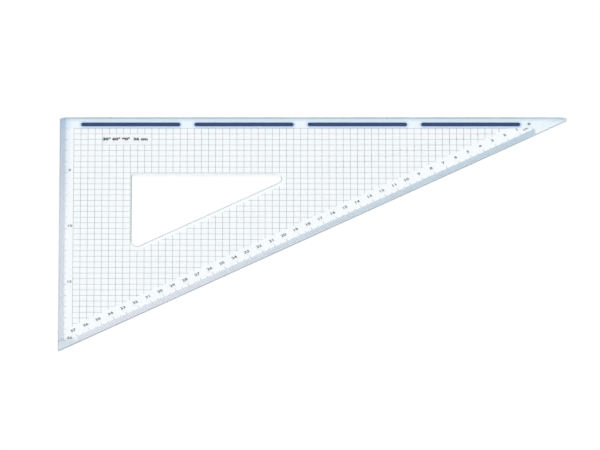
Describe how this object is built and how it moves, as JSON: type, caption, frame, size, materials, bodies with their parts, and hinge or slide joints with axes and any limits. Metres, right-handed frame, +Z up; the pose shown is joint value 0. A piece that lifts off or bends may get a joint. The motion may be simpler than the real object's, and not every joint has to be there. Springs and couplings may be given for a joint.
{
  "type": "drafting triangle",
  "caption": "Flat clear right-angled drafting triangle with bevelled graduated edges, a triangular finger window and dark grip strips let into its underside.",
  "frame": {"origin": "middle of the rectangle round the underside, on the surface that the triangle lies on", "axes": "+X along the long leg towards the sharp corner, +Y from the hypotenuse towards the long leg, +Z up out of the printed face"},
  "size_m": [0.3578, 0.2072, 0.003],
  "materials": {
    "clear_acrylic": "clear, polished, faint blue tint",
    "grip_elastomer": "matte navy elastomer",
    "scale_ink": "matte blue ink"
  },
  "bodies": {
    "root": {"triangle_plate": "clear_acrylic", "grip_strip_1": "grip_elastomer", "grip_strip_2": "grip_elastomer", "grip_strip_3": "grip_elastomer", "grip_strip_4": "grip_elastomer", "short_leg_scale": "scale_ink", "hypotenuse_scale": "scale_ink"}
  },
  "joints": []
}
